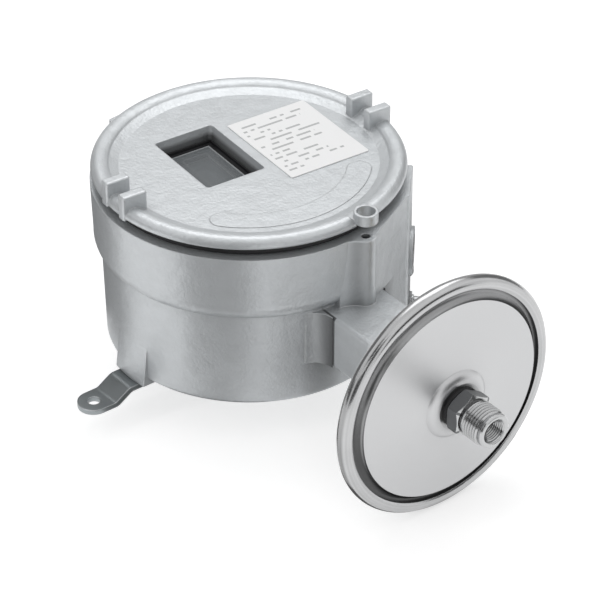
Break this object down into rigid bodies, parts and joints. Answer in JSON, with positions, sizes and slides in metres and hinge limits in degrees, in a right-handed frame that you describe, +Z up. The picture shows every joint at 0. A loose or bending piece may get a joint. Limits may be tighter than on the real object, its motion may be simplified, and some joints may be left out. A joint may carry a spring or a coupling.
{
  "type": "differential pressure switch",
  "caption": "Round cast switch housing on strap feet, with a windowed screw lid and a dished diaphragm chamber on a side arm that trips a micro switch through a rod and lever.",
  "frame": {"origin": "on the housing axis in the mounting plane under the strap feet, midway between the two foot holes", "axes": "+Z up out of the lid, +X out along the arm and the process connection, +Y towards the right foot seen from behind the housing"},
  "size_m": [0.3022, 0.23, 0.1406],
  "materials": {
    "casting": "fine textured light grey paint on cast aluminium",
    "zinc_steel": "zinc plated, satin",
    "dish_steel": "spun stainless sheet, satin with a bright bead",
    "machined_steel": "turned, bright",
    "brass": "turned brass",
    "spring_steel": "drawn wire",
    "black_rubber": "matt black rubber",
    "membrane": "fabric reinforced rubber",
    "glass": "clear flat glass",
    "label_plate": "white printed plate",
    "black_plastic": "moulded black",
    "grey_plastic": "moulded grey",
    "red_plastic": "moulded red"
  },
  "bodies": {
    "housing": {"housing": "casting", "foot_strap_left": "zinc_steel", "foot_strap_right": "zinc_steel", "foot_screws": "zinc_steel", "entry_plug": "machined_steel", "earth_clamp": "zinc_steel", "earth_washer": "zinc_steel", "earth_screw": "zinc_steel", "rim_bead": "dish_steel", "front_dish": "dish_steel", "rear_dish": "dish_steel", "diaphragm": "membrane", "sensor_stem": "machined_steel", "stem_nut": "machined_steel", "rod_guide": "brass", "process_fitting": "machined_steel", "fitting_washer": "black_rubber", "process_nut": "machined_steel", "low_pressure_nipple": "brass", "nipple_nut": "brass", "chassis_plate": "zinc_steel", "chassis_screws": "zinc_steel", "bracket_screws": "zinc_steel", "pivot_bracket": "zinc_steel", "pivot_pin": "machined_steel", "micro_switch": "black_plastic", "switch_bracket": "zinc_steel", "switch_screws": "zinc_steel", "spindle_bracket": "zinc_steel", "scale_plate": "label_plate", "scale_posts": "zinc_steel", "terminal_block": "grey_plastic", "terminal_screws": "brass", "range_spring": "spring_steel"},
    "lid_seal": {"lid_seal": "black_rubber"},
    "lid": {"lid": "casting", "window_gasket": "black_rubber", "window_glass": "glass", "window_frame": "machined_steel", "frame_screws": "zinc_steel", "rating_plate": "label_plate"},
    "push_rod": {"push_rod": "machined_steel", "rod_nut": "machined_steel", "rear_centre_plate": "dish_steel", "front_centre_plate": "dish_steel"},
    "switch_lever": {"switch_lever": "machined_steel"},
    "switch_plunger": {"switch_plunger": "red_plastic"},
    "set_spindle": {"set_spindle": "machined_steel"},
    "set_nut": {"set_nut": "brass", "set_pointer": "red_plastic"}
  },
  "joints": [
    {"name": "lid_lift", "type": "slide", "parent": "housing", "child": "lid_seal", "axis": [0, 0, 1], "range_m": [0, 0.0125]},
    {"name": "lid_turn", "type": "hinge", "parent": "lid_seal", "child": "lid", "pos_m": [0, 0, 0.11], "axis": [0, 0, 1], "range_deg": [0, 2250]},
    {"name": "rod_slide", "type": "slide", "parent": "housing", "child": "push_rod", "axis": [1, 0, 0], "range_m": [-0.0008, 0], "deforming": ["diaphragm"]},
    {"name": "lever_swing", "type": "hinge", "parent": "housing", "child": "switch_lever", "pos_m": [0.03, 0, 0.038], "axis": [0, 1, 0], "range_deg": [-2.8, 0], "deforming": ["range_spring"]},
    {"name": "plunger_slide", "type": "slide", "parent": "housing", "child": "switch_plunger", "axis": [1, 0, 0], "range_m": [-0.0011, 0]},
    {"name": "spindle_turn", "type": "hinge", "parent": "housing", "child": "set_spindle", "pos_m": [0, -0.014, 0.072], "axis": [-1, 0, 0], "range_deg": [0, 3240]},
    {"name": "nut_travel", "type": "slide", "parent": "housing", "child": "set_nut", "axis": [1, 0, 0], "range_m": [0, 0.018], "deforming": ["range_spring"]}
  ],
  "couplings": [
    {"joint": "lid_lift", "follows": "lid_turn", "m_per_rad": 0.00031831},
    {"joint": "lever_swing", "follows": "rod_slide", "rad_per_m": 60.606},
    {"joint": "plunger_slide", "follows": "rod_slide", "ratio": 1.3333},
    {"joint": "nut_travel", "follows": "spindle_turn", "m_per_rad": 0.00031831}
  ]
}
